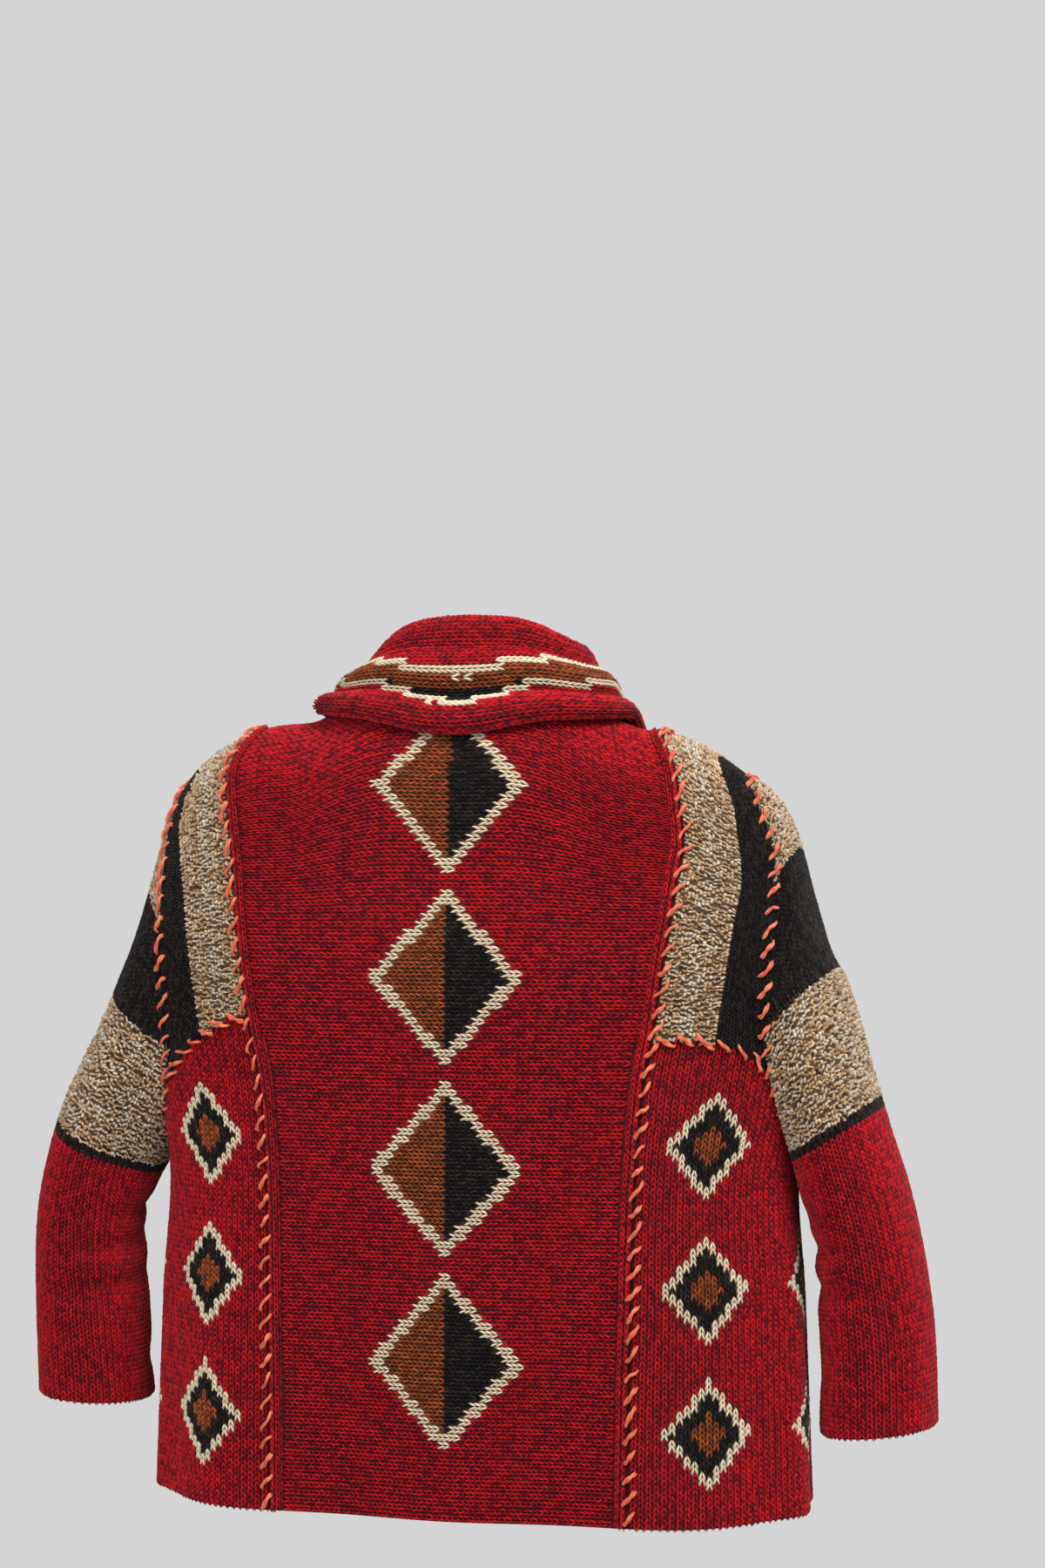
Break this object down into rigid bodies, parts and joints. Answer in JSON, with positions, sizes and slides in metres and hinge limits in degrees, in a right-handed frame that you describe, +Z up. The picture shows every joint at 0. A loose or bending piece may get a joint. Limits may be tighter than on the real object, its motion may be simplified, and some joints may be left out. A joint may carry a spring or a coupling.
{
  "type": "hand-knitted cardigan",
  "caption": "Chunky hand-knitted patchwork cardigan in its worn form: folded shawl collar, open front, yoke strips over the shoulders, side panels and set-in sleeves.",
  "frame": {"origin": "middle of the neck opening, level with the nape, where the wearer's neck and shoulders hold it", "axes": "+Z up, the back of the garment faces -Y, the front faces +Y, the wearer's left is at -X"},
  "size_m": [0.7013, 0.2438, 0.6622],
  "materials": {
    "red_marl": "chunky red and maroon wool, stocking stitch laid sideways",
    "collar_knit": "red wool with plain cream, rust and black stripes along the roll",
    "side_knit": "red wool with small cream, black and rust lozenges",
    "strip_knit": "beige tweed and black wool in two plain upright stripes",
    "sleeve_knit": "beige tweed, black and red wool in plain stripes across the sleeve",
    "coral_yarn": "coral wool whip stitches over the seams"
  },
  "bodies": {
    "root": {"back_panel": "red_marl", "front_left": "red_marl", "front_right": "red_marl", "collar": "collar_knit", "side_left": "side_knit", "side_right": "side_knit", "strip_left": "strip_knit", "strip_right": "strip_knit", "sleeve_left": "sleeve_knit", "sleeve_right": "sleeve_knit"}
  },
  "joints": []
}
